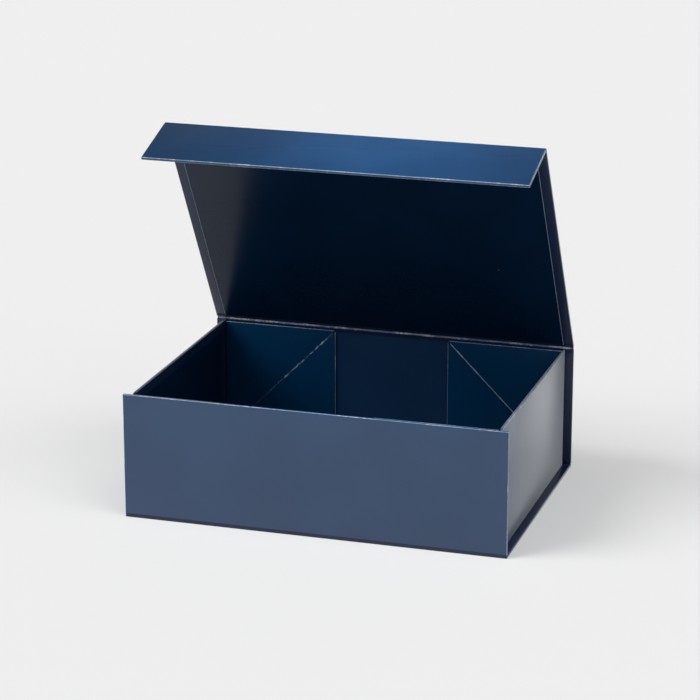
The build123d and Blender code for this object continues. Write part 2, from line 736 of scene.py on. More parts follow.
@dataclass(frozen=True)
class Creases:
    """The paper that bridges the case's creases, outside and inside."""

    sizes: BoxSizes
    leaves: Leaves
    fold_radius: float = 0.55 * MM
    ledge: float = 3.0 * MM
    bulge: float = 0.35 * MM
    lining_lift: float = 0.22 * MM
    lid_lip: float = 0.5 * MM
    spine_lip: float = 0.8 * MM
    flap_sink: float = 0.05 * MM
    foot_lift: float = 0.1 * MM
    foot_rise: float = 0.6 * MM
    foot_reach: float = 0.4 * MM
    foot_under: float = 0.1
    foot_turn: tuple[float, float] = (0.25, 0.5)
    foot_inset: float = 0.05
    lid_bulge: float = 0.3
    spine_bulge: float = 0.6
    flap_margin: float = 0.5
    hinge_cuts: int = 110
    hinge_unevenness: float = 0.22 * MM
    hinge_seed: int = 5

    def build(self) -> None:
        """Builds every crease strip and bakes its placement into its mesh."""
        self.outer_foot("base_spine_crease", self.leaves.spine())
        self.outer_foot("base_front_crease", self.leaves.front())
        self.outer_lid()
        self.outer_flap()
        self.inner_lid()
        self.inner_flap()
        for label, side in (("left", -1), ("right", 1)):
            self.side_foot(label, side)

    def bend(
        self, piece: bpy.types.Object
    ) -> None:
        """Bakes a strip's placement into its mesh; it is not bent and rides on no body."""
        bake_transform(piece)

    def outer_foot(self, name: str, wall: Leaf) -> None:
        """Outer skin round the lower corner between the base and an upright wall, in the darker
        turned-in paper: a painted contact shadow along the wall's foot.

        Args:
            name: name of the piece.
            wall: the wall's axes.
        """
        size = self.sizes
        radius = self.fold_radius
        profile = (
            wall.at(0, radius * self.foot_under, size.setback + radius),
            wall.at(0, radius * self.foot_turn[0], radius * self.foot_turn[1]),
            wall.at(0, radius, radius * self.foot_inset),
            wall.at(0, size.step, 0),
            wall.at(0, size.step + radius, 0),
        )
        # The strip's dark paper is a painted contact shadow under the wall
        strip = PaperStrip(
            name, profile, wall.across, size.width / 2 - radius, (Finish.TURN_IN,), Slot.WRAP,
            thickness=size.paper, outward=1.0,
        )
        self.bend(strip.build())

    def outer_lid(self) -> None:
        """Outer skin over the crease between the spine and the lid."""
        size = self.sizes
        spine, lid = self.leaves.spine(), self.leaves.lid()
        radius = self.fold_radius
        profile = (
            spine.at(0, size.wall_top - radius, 0),
            spine.at(0, size.wall_top + radius, 0),
            spine.at(0, size.closed_height - 2 * radius, 0),
            lid.at(0, size.setback, 0),
            lid.at(0, size.setback + radius, 0),
        )
        strip = PaperStrip(
            "spine_lid_crease", profile, spine.across, size.width / 2 - radius, (Finish.WRAP,),
            Slot.WRAP, thickness=size.paper, outward=1.0,
        )
        self.bend(strip.build())

    def outer_flap(self) -> None:
        """Outer skin over the crease between the lid and the flap."""
        size = self.sizes
        lid, flap = self.leaves.lid(), self.leaves.flap()
        radius = self.fold_radius
        profile = (
            lid.at(0, size.lid_length - size.setback - radius, 0),
            lid.at(0, size.lid_length - size.setback, 0),
            flap.at(0, size.setback, 0),
            flap.at(0, size.step, 0),
            flap.at(0, size.step + radius, 0),
        )
        strip = PaperStrip(
            "lid_flap_crease", profile, lid.across, size.width / 2 - radius, (Finish.WRAP,), Slot.WRAP,
            thickness=size.paper, outward=1.0,
        )
        self.bend(strip.build())

    def inner_lid(self) -> None:
        """Lining over the lid's hinge: a slightly ruffled fold in the darker turned-in paper, painted
        shade, whose ridge catches the light and is also painted pale as a highlight, with rubbed
        patches.
        """
        size = self.sizes
        spine, lid = self.leaves.spine(), self.leaves.lid()
        face = size.panel + self.lining_lift
        corner = (lid.at(0, size.setback, face) + spine.at(0, size.wall_top, face)) / 2
        profile = (
            lid.at(0, size.setback + self.ledge, face),
            lid.at(0, size.setback + self.lid_lip, face + self.bulge * self.lid_bulge),
            corner + (lid.inward + spine.inward) * self.bulge,
            spine.at(0, size.wall_top - self.spine_lip, face + self.bulge * self.spine_bulge),
            spine.at(0, size.wall_top - self.ledge, face),
        )
        strip = PaperStrip(
            "lid_hinge_lining", profile, spine.across, size.width / 2 - self.fold_radius * 2,
            (Finish.TURN_IN, Finish.CREASE), Slot.LINING, thickness=size.paper, outward=-1.0, ridge=(1,),
            cuts=self.hinge_cuts, unevenness=self.hinge_unevenness, seed=self.hinge_seed,
        )
        self.bend(strip.build())

    def inner_flap(self) -> None:
        """Wrap paper inside the fold between the lid and the flap, in the darker turned-in paper:
        painted shade in the fold.
        """
        size = self.sizes
        lid, flap = self.leaves.lid(), self.leaves.flap()
        face = size.panel
        profile = (
            lid.at(0, size.lid_length - size.setback - self.ledge, face),
            lid.at(0, size.lid_length - size.setback - self.fold_radius, face - self.flap_sink),
            flap.at(0, size.step + self.fold_radius, face - self.flap_sink),
            flap.at(0, size.step + self.ledge, face),
        )
        strip = PaperStrip(
            "flap_fold_lining", profile, lid.across,
            size.width / 2 - size.lining_margin * self.flap_margin, (Finish.TURN_IN,),
            Slot.LINING, thickness=size.paper, outward=-1.0,
        )
        self.bend(strip.build())

    def side_foot(self, label: str, side: int) -> None:
        """Lining strip in the corner between the base and a side wall, in the darker turned-in paper:
        painted shade in the corner.

        Args:
            label: "left" or "right", as the wall's body is named.
            side: -1 for the left wall and 1 for the right one.
        """
        size = self.sizes
        wall = self.leaves.side(side)
        face = size.panel
        profile = (
            wall.at(0, size.panel + self.lining_lift, face + self.ledge),
            wall.at(0, size.panel + self.lining_lift, face + self.foot_reach),
            wall.at(0, size.step + self.foot_rise, face + self.foot_lift),
            wall.at(0, size.step + self.ledge, face + self.foot_lift),
        )
        strip = PaperStrip(
            f"{label}_wall_foot_lining", profile, wall.across, size.side_half_length - self.ledge,
            (Finish.TURN_IN,), Slot.LINING, thickness=size.paper, outward=-1.0,
        )
        self.bend(strip.build())


@dataclass(frozen=True)
class Gusset:
    """A square corner gusset: a glued lower triangle, a free upper one and the crease between."""

    sizes: BoxSizes
    leaf: Leaf
    wall_body: str
    name: str
    side: int
    worn: bool
    head_rise: float = 0.0
    crease_gap: float = 0.8 * MM
    fold_radius: float = 0.35 * MM
    crease_half: float = 1.5 * MM
    crease_end: float = 3.3 * MM
    ridge_half: float = 0.42 * MM
    worn_ridge_half: float = 0.62 * MM
    skin: float = 0.16 * MM
    crease_lift: float = 0.02 * MM
    backing_proud: float = 0.06 * MM
    slight_unevenness: float = 0.16 * MM
    worn_unevenness: float = 0.45 * MM
    edge_rise: float = 0.3
    ridge_rise: float = 0.5
    crease_cuts: int = 80
    crease_seed: int = 11

    def build(self) -> None:
        """Builds both triangles and hands them to their bodies, then builds the crease, which rides on
        no body.
        """
        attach(self.triangle(Half.FIXED), self.wall_body)
        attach(self.triangle(Half.FOLD), self.name)
        self.crease()

    def corners(self) -> tuple[Vector, Vector]:
        """Finds the two ends of the crease.

        Returns:
            Its lower outer end and its upper inner end, in the wall's axes.
        """
        size = self.sizes
        foot = Vector((self.side * size.gusset_outer_x, size.gusset_low, 0))
        head = Vector((self.side * size.gusset_inner_x, size.gusset_high, 0))
        return foot, head

    def triangle(self, half: Half) -> bpy.types.Object:
        """One wrapped triangle: a plate cut along the diagonal, with rounded folds.

        Args:
            half: the glued lower triangle or the free upper one.

        Returns:
            The triangle in its place.
        """
        size = self.sizes
        foot, head = self.corners()
        free = half is Half.FOLD
        back = size.fold_back + self.backing_proud if free else size.panel
        top = head.y + (self.head_rise if free else 0.0)
        low = Vector((min(foot.x, head.x), foot.y, back))
        high = Vector((max(foot.x, head.x), top, size.gusset_face))
        piece = block(f"{self.name}_{half.value}_paper", low, high, (Finish.GUSSET, Finish.FOLD))
        run = (head - foot).normalized()
        normal = Vector((-run.y, run.x, 0)) * self.side * (1 if free else -1)
        start = foot - normal * self.crease_gap
        with editing(piece):
            bpy.ops.mesh.select_all(action="SELECT")
            bpy.ops.mesh.bisect(plane_co=start, plane_no=normal, use_fill=True, clear_outer=True)
        round_edges(piece, self.fold_radius, lambda edge: True)
        reach = self.fold_radius * SLACK

        def rubbed_and_highlit(face: bmesh.types.BMFace) -> bool:
            """Tells whether a face lies on the upper or the inner fold.

            Args:
                face: a face of the triangle.

            Returns:
                True for a face of either fold's rounding.
            """
            place = face.calc_center_median()
            on_top = top - place.y < reach and face.normal.y > TURNING
            inside = abs(place.x - head.x) < reach and face.normal.x * self.side < -TURNING
            return (on_top or inside) and slanted(face)

        # The top and inner folds take the pale fold finish: a painted highlight with rubbed patches
        refinish(piece, 1, rubbed_and_highlit)
        return complete(piece, (f"{self.name}_{half.value}_cover",), self.leaf.matrix)

    def crease(self) -> None:
        """The diagonal fold: a narrow ruffled strip whose ridge has cracked film on the worn gusset, and
        on the others the pale fold finish, a painted highlight with rubbed patches.
        """
        size = self.sizes
        foot, head = self.corners()
        run = (head - foot).normalized()
        below = Vector((-run.y, run.x, 0)) * -self.side
        middle = (foot + head) / 2
        half = (head - foot).length / 2 - self.crease_end
        face = size.gusset_face + self.crease_lift
        ridge = self.worn_ridge_half if self.worn else self.ridge_half
        local = (
            middle - below * self.crease_half + Vector((0, 0, face)),
            middle - below * self.crease_gap + Vector((0, 0, face + self.skin * self.edge_rise)),
            middle - below * ridge + Vector((0, 0, face + self.skin * self.ridge_rise)),
            middle + below * ridge + Vector((0, 0, face + self.skin * self.ridge_rise)),
            middle + below * self.crease_gap + Vector((0, 0, face + self.skin * self.edge_rise)),
            middle + below * self.crease_half + Vector((0, 0, face)),
        )
        matrix = self.leaf.matrix
        profile = tuple(matrix @ point for point in local)
        across = (matrix.to_3x3() @ run).normalized()
        outward = 1.0 if across.cross(profile[1] - profile[0]).dot(self.leaf.inward) < 0 else -1.0
        # The ridge is cracked film on the worn gusset; on the others it is painted pale as a highlight,
        # with rubbed patches
        strip = PaperStrip(
            f"{self.name}_crease", profile, across, half,
            (Finish.GUSSET, Finish.CREASE_WORN if self.worn else Finish.FOLD), Slot.LINING,
            thickness=self.skin, outward=outward, ridge=(2,), cuts=self.crease_cuts,
            unevenness=self.worn_unevenness if self.worn else self.slight_unevenness,
            seed=self.crease_seed,
        )
        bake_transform(strip.build())


@dataclass(frozen=True)
class GiftBox:
    """The whole box: panels, creases, gussets and what shows of the CAD nodes inside."""

    sizes: BoxSizes
    proud_head: float = 1.35 * MM
    ear_gap: float = 0.4 * MM
    side_fold_radius: float = 0.3 * MM
    side_rounded_end: float = 1.05 * MM

    def build(self) -> None:
        """Builds every sub-assembly in order."""
        leaves = Leaves(self.sizes)
        for panel in self.panels(leaves):
            panel.build()
        Creases(self.sizes, leaves).build()
        for gusset in self.gussets(leaves):
            gusset.build()
        self.dress_inner_nodes()

    def panels(self, leaves: Leaves) -> list[WrappedPanel]:
        """Lists the seven wrapped panels.

        Args:
            leaves: the axes of every panel.

        Returns:
            The panels, not yet built.
        """
        size = self.sizes
        margin = size.lining_margin
        free = (margin, margin, margin)
        four = ((-1, -1), (1, -1), (-1, 1), (1, 1))
        top = ((-1, 1), (1, 1))
        base_end = size.half_depth - size.setback
        lid_end = size.lid_length - size.setback
        side_length = 2 * size.side_half_length
        ears = size.half_depth - size.panel - size.side_half_length - self.ear_gap
        common = {"width": size.width, "thickness": size.panel}
        walls = {"start": size.step, "end": size.wall_top}
        ends, top_end = ((-1, 0), (1, 0)), ((0, 1),)
        panels = [
            WrappedPanel(
                "base", "base", leaves.base(), start=-base_end, end=base_end, margins=free,
                mitred=four, **common,
            ),
            WrappedPanel(
                "spine", "spine", leaves.spine(), margins=(margin, margin, 0.0), mitred=four,
                pale_rim=True, lining_finish=Finish.WALL_LINING, **walls, **common,
            ),
            WrappedPanel(
                "front_wall", "front_wall", leaves.front(), margins=free, mitred=four,
                rubbed_and_highlit=ends + top_end, lining_finish=Finish.WALL_LINING, **walls, **common,
            ),
            WrappedPanel(
                "lid", "lid", leaves.lid(), start=size.setback, end=lid_end,
                margins=(margin, 0.0, margin), mitred=top, pale_rim=True, **common,
            ),
            WrappedPanel(
                "flap", "flap", leaves.flap(), start=size.step, end=size.flap_length, margins=free,
                mitred=top, rubbed_and_highlit=ends + top_end, pale_rim=True, **common,
            ),
        ]
        for label, side in (("left", -1), ("right", 1)):
            panels.append(
                WrappedPanel(
                    f"{label}_wall", f"{label}_wall", leaves.side(side), width=side_length,
                    thickness=size.panel, margins=free, rubbed_and_highlit=top_end, ears=ears,
                    fold_radius=self.side_fold_radius, rounded_end=self.side_rounded_end,
                    wrap_finish=Finish.SIDE_WRAP, **walls,
                )
            )
        return panels

    def gussets(self, leaves: Leaves) -> list[Gusset]:
        """Lists the four corner gussets.

        Args:
            leaves: the axes of every panel.

        Returns:
            The gussets, not yet built. The back left one is the most worn, and the front right
            one stands a little proud of the wall.
        """
        made = []
        walls = (("back", "spine", leaves.spine()), ("front", "front_wall", leaves.front()))
        for wall, body, leaf in walls:
            for label, side in (("left", -1), ("right", 1)):
                local = int(side * leaf.across.x)
                worn = (wall, label) == ("back", "left")
                rise = self.proud_head if (wall, label) == ("front", "right") else 0.0
                name = f"gusset_{wall}_{label}"
                made.append(Gusset(self.sizes, leaf, body, name, local, worn, rise))
        return made

    def dress_inner_nodes(self) -> None:
        """Gives the boards, backing sheets and magnets, which stay CAD nodes, their own finishes."""
        # Backing sheets take the darker lining, painted shade
        endings = (("_board", Finish.BOARD), ("_backing", Finish.LINING))
        for name, node in frame["nodes"].items():
            finish = next((f for ending, f in endings if name.endswith(ending)), None)
            if "magnet" in name:
                finish = Finish.NICKEL
            if finish is not None:
                dress(node, (finish,))


class Operation(Enum):
    """What a node tree's sums do with their two values."""

    ADD = "ADD"
    SUBTRACT = "SUBTRACT"
    MULTIPLY = "MULTIPLY"
    MAXIMUM = "MAXIMUM"


class NodeSheet:
    """A small helper that adds and links shader nodes in one tree."""

    def __init__(self, tree: bpy.types.NodeTree) -> None:
        """Keeps the tree to work in."""
        self.tree = tree

    def add(self, kind: str, settings: dict | None = None, **sockets: object) -> bpy.types.Node:
        """Adds a node, sets its properties and fills or links its inputs.

        Args:
            kind: the node's type name.
            settings: properties of the node.
            **sockets: input values or output sockets, by input name with underscores.

        Returns:
            The new node.
        """
        node = self.tree.nodes.new(kind)
        for key, value in (settings or {}).items():
            setattr(node, key, value)
        for key, value in sockets.items():
            self.feed(node.inputs[key.replace("_", " ")], value)
        return node

    def feed(self, socket: bpy.types.NodeSocket, value: object) -> None:
        """Fills an input.

        Args:
            socket: the input.
            value: an output to link to it, or the input's own value.
        """
        if isinstance(value, bpy.types.NodeSocket):
            self.tree.links.new(value, socket)
        else:
            socket.default_value = value

    def noise(self, scale: object, detail: float, roughness: float = 0.5) -> bpy.types.NodeSocket:
        """Noise over the object's own coordinates.

        Args:
            scale: the noise's scale, a number or an output.
            detail: how many finer layers it has.
            roughness: how strong the finer layers are.

        Returns:
            The noise's value.
        """
        place = self.add("ShaderNodeTexCoord").outputs["Object"]
        node = self.add(
            "ShaderNodeTexNoise", None, Vector=place, Scale=scale, Detail=detail, Roughness=roughness
        )
        return node.outputs["Fac"]

    def span(
        self, value: object, low: object, high: object, to_low: float = 0.0, to_high: float = 1.0
    ) -> bpy.types.NodeSocket:
        """Maps a value smoothly from one range to another, held at the ends.

        Args:
            value: the value to map.
            low: start of the range that it comes from.
            high: end of that range.
            to_low: start of the range that it goes to.
            to_high: end of that range.

        Returns:
            The mapped value.
        """
        node = self.add("ShaderNodeMapRange", {"interpolation_type": "SMOOTHSTEP"}, Value=value)
        ends = {"From Min": low, "From Max": high, "To Min": to_low, "To Max": to_high}
        for key, amount in ends.items():
            self.feed(node.inputs[key], amount)
        return node.outputs["Result"]

    def blend(self, amount: object, first: object, second: object) -> bpy.types.NodeSocket:
        """Mixes two colours.

        Args:
            amount: share of the second colour.
            first: a colour or an output.
            second: a colour or an output.

        Returns:
            The mixed colour.
        """
        node = self.add("ShaderNodeMix", {"data_type": "RGBA"})
        self.feed(node.inputs["Factor"], amount)
        self.feed(node.inputs[MIX_FIRST], first)
        self.feed(node.inputs[MIX_SECOND], second)
        return node.outputs[MIX_RESULT]

    def math(self, first: object, second: object, kind: Operation) -> bpy.types.NodeSocket:
        """Works out one value from two.

        Args:
            first: a number or an output.
            second: a number or an output.
            kind: what is done with them.

        Returns:
            The resulting value.
        """
        node = self.add("ShaderNodeMath", {"operation": kind.value})
        self.feed(node.inputs[0], first)
        self.feed(node.inputs[1], second)
        return node.outputs[0]


@dataclass(frozen=True)
class EffectGroup:
    """A shader node group, with a sheet to work in it and its two end nodes."""

    tree: bpy.types.NodeTree
    sheet: NodeSheet
    given: bpy.types.NodeOutputs
    result: bpy.types.NodeInputs

    @classmethod
    def start(cls, name: str, inputs: dict[str, float], outputs: tuple[str, ...]) -> "EffectGroup":
        """Starts a group with named float sockets.

        Args:
            name: name of the group.
            inputs: input names with their default values.
            outputs: output names.

        Returns:
            The group, still empty between its two end nodes.
        """
        tree = bpy.data.node_groups.new(name, "ShaderNodeTree")
        for key, value in inputs.items():
            socket = tree.interface.new_socket(name=key, in_out="INPUT", socket_type="NodeSocketFloat")
            socket.default_value = value
        for key in outputs:
            tree.interface.new_socket(name=key, in_out="OUTPUT", socket_type="NodeSocketFloat")
        sheet = NodeSheet(tree)
        given = sheet.add("NodeGroupInput")
        return cls(tree, sheet, given.outputs, sheet.add("NodeGroupOutput").inputs)


class Effects:
    """Node groups that several finishes share."""

    wave_scale: float = 7.0
    tone_scale: float = 16.0
    run_scale: float = 60.0
    film_scale: float = 120.0
    patch_share: float = 0.6
    noise_range: tuple[float, float] = (0.3, 0.7)
    rare_cells: tuple[float, float] = (0.93, 0.95)

    def __init__(self) -> None:
        """Builds each group once."""
        self.grain = self.make_grain()
        self.wear = self.make_wear()
        self.dust = self.make_dust()

    def make_grain(self) -> bpy.types.NodeTree:
        """Paper under satin film: fine fibre, a slow waviness of the board and a broad tone.

        Returns:
            The group, with a tone, a height and a gloss.
        """
        inputs = {"Scale": 900.0, "Fibre": 1.0, "Wave": 1.0}
        group = EffectGroup.start("Paper Grain", inputs, ("Tone", "Height", "Gloss"))
        sheet = group.sheet
        fine = sheet.noise(group.given["Scale"], 3.0, 0.6)
        wave = sheet.noise(self.wave_scale, 1.0)
        broad = sheet.noise(self.tone_scale, 3.0)
        film = sheet.noise(self.film_scale, 2.0)
        fibre = sheet.math(fine, group.given["Fibre"], Operation.MULTIPLY)
        sway = sheet.math(wave, group.given["Wave"], Operation.MULTIPLY)
        sheet.feed(group.result["Tone"], sheet.span(broad, *self.noise_range))
        sheet.feed(group.result["Height"], sheet.math(fibre, sway, Operation.ADD))
        sheet.feed(group.result["Gloss"], sheet.span(film, *self.noise_range))
        return group.tree

    def make_wear(self) -> bpy.types.NodeTree:
        """Where the film on a fold is rubbed or cracked to the paper.

        Returns:
            The group, with a mask that is 1 on bare paper.
        """
        inputs = {"Amount": 0.5, "Scale": 400.0, "Softness": 0.15}
        group = EffectGroup.start("Fold Wear", inputs, ("Mask",))
        sheet = group.sheet
        patches = sheet.noise(group.given["Scale"], 5.0, 0.7)
        runs = sheet.noise(self.run_scale, 2.0)
        patches = sheet.math(patches, self.patch_share, Operation.MULTIPLY)
        runs = sheet.math(runs, 1.0 - self.patch_share, Operation.MULTIPLY)
        mixed = sheet.math(patches, runs, Operation.ADD)
        edge = sheet.math(1.0, group.given["Amount"], Operation.SUBTRACT)
        upper = sheet.math(edge, group.given["Softness"], Operation.ADD)
        sheet.feed(group.result["Mask"], sheet.span(mixed, edge, upper))
        return group.tree

    def make_dust(self) -> bpy.types.NodeTree:
        """Rare pale specks of dust.

        Returns:
            The group, with a mask that is 1 in the middle of a speck.
        """
        group = EffectGroup.start("Dust Specks", {"Scale": 90.0, "Size": 0.06}, ("Mask",))
        sheet = group.sheet
        place = sheet.add("ShaderNodeTexCoord").outputs["Object"]
        cells = sheet.add("ShaderNodeTexVoronoi", None, Vector=place, Scale=group.given["Scale"])
        near = sheet.span(cells.outputs["Distance"], group.given["Size"], 0.0)
        split = sheet.add("ShaderNodeSeparateColor", None, Color=cells.outputs["Color"])
        rare = sheet.span(split.outputs["Red"], *self.rare_cells)
        sheet.feed(group.result["Mask"], sheet.math(near, rare, Operation.MULTIPLY))
        return group.tree


@dataclass(frozen=True)
class PaperFinish:
    """Navy paper under satin film, plain, folded or cracked; some finishes carry painted light, darker
    as shade or pale as highlights.
    """

    finish: Finish
    dark: tuple[float, float, float]
    light: tuple[float, float, float]
    roughness: tuple[float, float]
    worn: tuple[float, float, float] = (0.2, 0.26, 0.36)
    wear: float = 0.0
    worn_roughness: float = 0.2
    ior: float = 1.5
    coat: float = 0.0
    coat_roughness: float = 0.2
    sheen: float = 0.0
    sheen_roughness: float = 0.35
    grain_scale: float = 900.0
    fibre: float = 0.004
    wave: float = 0.3
    bump: float = 0.35
    bump_distance: float = 0.4 * MM
    wear_scale: float = 400.0
    dust: float = 0.0
    dust_scale: float = 55.0
    dust_tone: tuple[float, float, float] = (0.55, 0.57, 0.6)

    def make(self, effects: Effects) -> bpy.types.Material:
        """Builds the material.

        Args:
            effects: the shared node groups.

        Returns:
            The new material.
        """
        material = bpy.data.materials.new(self.finish.value)
        material.use_nodes = True
        sheet = NodeSheet(material.node_tree)
        shader = material.node_tree.nodes["Principled BSDF"]
        shader.inputs["IOR"].default_value = self.ior
        shader.inputs["Coat Weight"].default_value = self.coat
        shader.inputs["Coat Roughness"].default_value = self.coat_roughness
        shader.inputs["Sheen Weight"].default_value = self.sheen
        shader.inputs["Sheen Roughness"].default_value = self.sheen_roughness
        grain = sheet.add(
            "ShaderNodeGroup", {"node_tree": effects.grain},
            Scale=self.grain_scale, Fibre=self.fibre, Wave=self.wave,
        )
        wear = sheet.add(
            "ShaderNodeGroup", {"node_tree": effects.wear}, Amount=self.wear, Scale=self.wear_scale
        )
        dust = sheet.add("ShaderNodeGroup", {"node_tree": effects.dust}, Scale=self.dust_scale)
        colour = sheet.blend(grain.outputs["Tone"], (*self.dark, 1.0), (*self.light, 1.0))
        colour = sheet.blend(wear.outputs["Mask"], colour, (*self.worn, 1.0))
        specks = sheet.math(dust.outputs["Mask"], self.dust, Operation.MULTIPLY)
        colour = sheet.blend(specks, colour, (*self.dust_tone, 1.0))
        sheet.feed(shader.inputs["Base Color"], colour)
        smooth = sheet.span(grain.outputs["Gloss"], 0.0, 1.0, *self.roughness)
        rougher = sheet.math(wear.outputs["Mask"], self.worn_roughness, Operation.MULTIPLY)
        sheet.feed(shader.inputs["Roughness"], sheet.math(smooth, rougher, Operation.ADD))
        bump = sheet.add(
            "ShaderNodeBump", None, Strength=self.bump, Distance=self.bump_distance,
            Height=grain.outputs["Height"],
        )
        sheet.feed(shader.inputs["Normal"], bump.outputs["Normal"])
        return material


@dataclass(frozen=True)
class BoardFinish:
    """Uncoated grey board or the bare edge of paper: pressed fibres with flecks."""

    finish: Finish
    dark: tuple[float, float, float]
    light: tuple[float, float, float]
    fleck: tuple[float, float, float]
    scale: float = 700.0
    ior: float = 1.4
    fibre_range: tuple[float, float] = (0.35, 0.65)
    fleck_amount: float = 0.42
    fleck_scale: float = 1500.0
    roughness: tuple[float, float] = (0.78, 0.92)
    bump: float = 0.4
    bump_distance: float = 0.1 * MM

    def make(self, effects: Effects) -> bpy.types.Material:
        """Builds the material.

        Args:
            effects: the shared node groups.

        Returns:
            The new material.
        """
        material = bpy.data.materials.new(self.finish.value)
        material.use_nodes = True
        sheet = NodeSheet(material.node_tree)
        shader = material.node_tree.nodes["Principled BSDF"]
        shader.inputs["IOR"].default_value = self.ior
        grain = sheet.add(
            "ShaderNodeGroup", {"node_tree": effects.grain}, Scale=self.scale, Fibre=1.0, Wave=0.1
        )
        fibre = sheet.noise(self.scale, 4.0, 0.7)
        flecks = sheet.add(
            "ShaderNodeGroup", {"node_tree": effects.wear},
            Amount=self.fleck_amount, Scale=self.fleck_scale,
        )
        pressed = sheet.span(fibre, *self.fibre_range)
        colour = sheet.blend(pressed, (*self.dark, 1.0), (*self.light, 1.0))
        colour = sheet.blend(flecks.outputs["Mask"], colour, (*self.fleck, 1.0))
        sheet.feed(shader.inputs["Base Color"], colour)
        rough = sheet.span(grain.outputs["Gloss"], 0.0, 1.0, *self.roughness)
        sheet.feed(shader.inputs["Roughness"], rough)
        bump = sheet.add(
            "ShaderNodeBump", None, Strength=self.bump, Distance=self.bump_distance,
            Height=grain.outputs["Height"],
        )
        sheet.feed(shader.inputs["Normal"], bump.outputs["Normal"])
        return material


@dataclass(frozen=True)
class NickelFinish:
    """Nickel plate on the magnet discs, with fine tumbling marks."""

    finish: Finish
    tone: tuple[float, float, float] = (0.62, 0.6, 0.56)
    dull_share: float = 0.82
    scale: float = 2500.0
    roughness: tuple[float, float] = (0.2, 0.38)
    bump: float = 0.2
    bump_distance: float = 0.02 * MM

    def make(self, effects: Effects) -> bpy.types.Material:
        """Builds the material.

        Args:
            effects: the shared node groups.

        Returns:
            The new material.
        """
        material = bpy.data.materials.new(self.finish.value)
        material.use_nodes = True
        sheet = NodeSheet(material.node_tree)
        shader = material.node_tree.nodes["Principled BSDF"]
        shader.inputs["Metallic"].default_value = 1.0
        grain = sheet.add(
            "ShaderNodeGroup", {"node_tree": effects.grain}, Scale=self.scale, Fibre=1.0, Wave=0.0
        )
        dull = tuple(self.dull_share * c for c in self.tone)
        colour = sheet.blend(grain.outputs["Tone"], (*self.tone, 1.0), (*dull, 1.0))
        sheet.feed(shader.inputs["Base Color"], colour)
        rough = sheet.span(grain.outputs["Gloss"], 0.0, 1.0, *self.roughness)
        sheet.feed(shader.inputs["Roughness"], rough)
        bump = sheet.add(
            "ShaderNodeBump", None, Strength=self.bump, Distance=self.bump_distance,
            Height=grain.outputs["Height"],
        )
        sheet.feed(shader.inputs["Normal"], bump.outputs["Normal"])
        return material


FINISHES = (
    PaperFinish(
        Finish.WRAP, dark=(0.0085, 0.036, 0.096), light=(0.0105, 0.042, 0.108),
        roughness=(0.205, 0.225), coat=0.3, coat_roughness=0.18, dust=0.5,
    ),
    PaperFinish(
        Finish.SIDE_WRAP, dark=(0.0085, 0.036, 0.09), light=(0.0105, 0.042, 0.1),
        roughness=(0.255, 0.265), coat=0.05, sheen=0.7, dust=0.3,
    ),
    # The turned-in paper is the wrap paper painted darker: painted shade
    PaperFinish(
        Finish.TURN_IN, dark=(0.0075, 0.015, 0.045), light=(0.009, 0.018, 0.052),
        roughness=(0.255, 0.27), ior=1.42,
    ),
    # The lining's colours are painted shade, near the dark look of the lid's inside
    PaperFinish(
        Finish.LINING, dark=(0.0006, 0.009, 0.028), light=(0.0009, 0.011, 0.034),
        roughness=(0.215, 0.23), ior=1.36, dust=0.2,
    ),
    # A lighter copy of the same lining; with the darker lining it paints light and shade
    PaperFinish(
        Finish.WALL_LINING, dark=(0.0062, 0.025, 0.072), light=(0.0072, 0.029, 0.08),
        roughness=(0.255, 0.27), ior=1.4, dust=0.2,
    ),
    PaperFinish(
        Finish.GUSSET, dark=(0.0003, 0.027, 0.08), light=(0.0004, 0.031, 0.09),
        roughness=(0.255, 0.27), ior=1.33,
    ),
    # The fold colours are a painted highlight; the worn patches are rubbed film
    PaperFinish(
        Finish.FOLD, dark=(0.1, 0.17, 0.28), light=(0.16, 0.24, 0.36), worn=(0.4, 0.46, 0.56),
        wear=0.52, roughness=(0.3, 0.4),
    ),
    # The hinge ridge is painted pale: a painted highlight, with rubbed patches
    PaperFinish(
        Finish.CREASE, dark=(0.04, 0.08, 0.14), light=(0.08, 0.12, 0.18), worn=(0.38, 0.39, 0.44),
        wear=0.53, roughness=(0.35, 0.45), wear_scale=500.0,
    ),
    PaperFinish(
        Finish.CREASE_WORN, dark=(0.006, 0.04, 0.1), light=(0.015, 0.06, 0.13),
        worn=(0.5, 0.56, 0.62), wear=0.5, roughness=(0.35, 0.5), wear_scale=450.0,
    ),
    BoardFinish(
        Finish.CUT, dark=(0.14, 0.19, 0.24), light=(0.24, 0.3, 0.36), fleck=(0.1, 0.13, 0.18)
    ),
    BoardFinish(
        Finish.BOARD, dark=(0.24, 0.225, 0.2), light=(0.36, 0.34, 0.31), fleck=(0.14, 0.13, 0.12)
    ),
    NickelFinish(Finish.NICKEL),
)


@dataclass(frozen=True)
class Sun:
    """A wide, soft sun, by where it stands as seen from the box, in degrees."""

    name: str
    strength: float
    bearing: float
    height: float
    spread: float

    def build(self) -> None:
        """Adds the lamp. A bearing of 0 is in front of the box, and 90 on its right."""
        fresh()
        turn = (radians(90 - self.height), 0.0, radians(self.bearing))
        bpy.ops.object.light_add(type="SUN", rotation=turn)
        lamp = bpy.context.object
        lamp.name = self.name
        lamp.data.energy = self.strength
        lamp.data.angle = radians(self.spread)


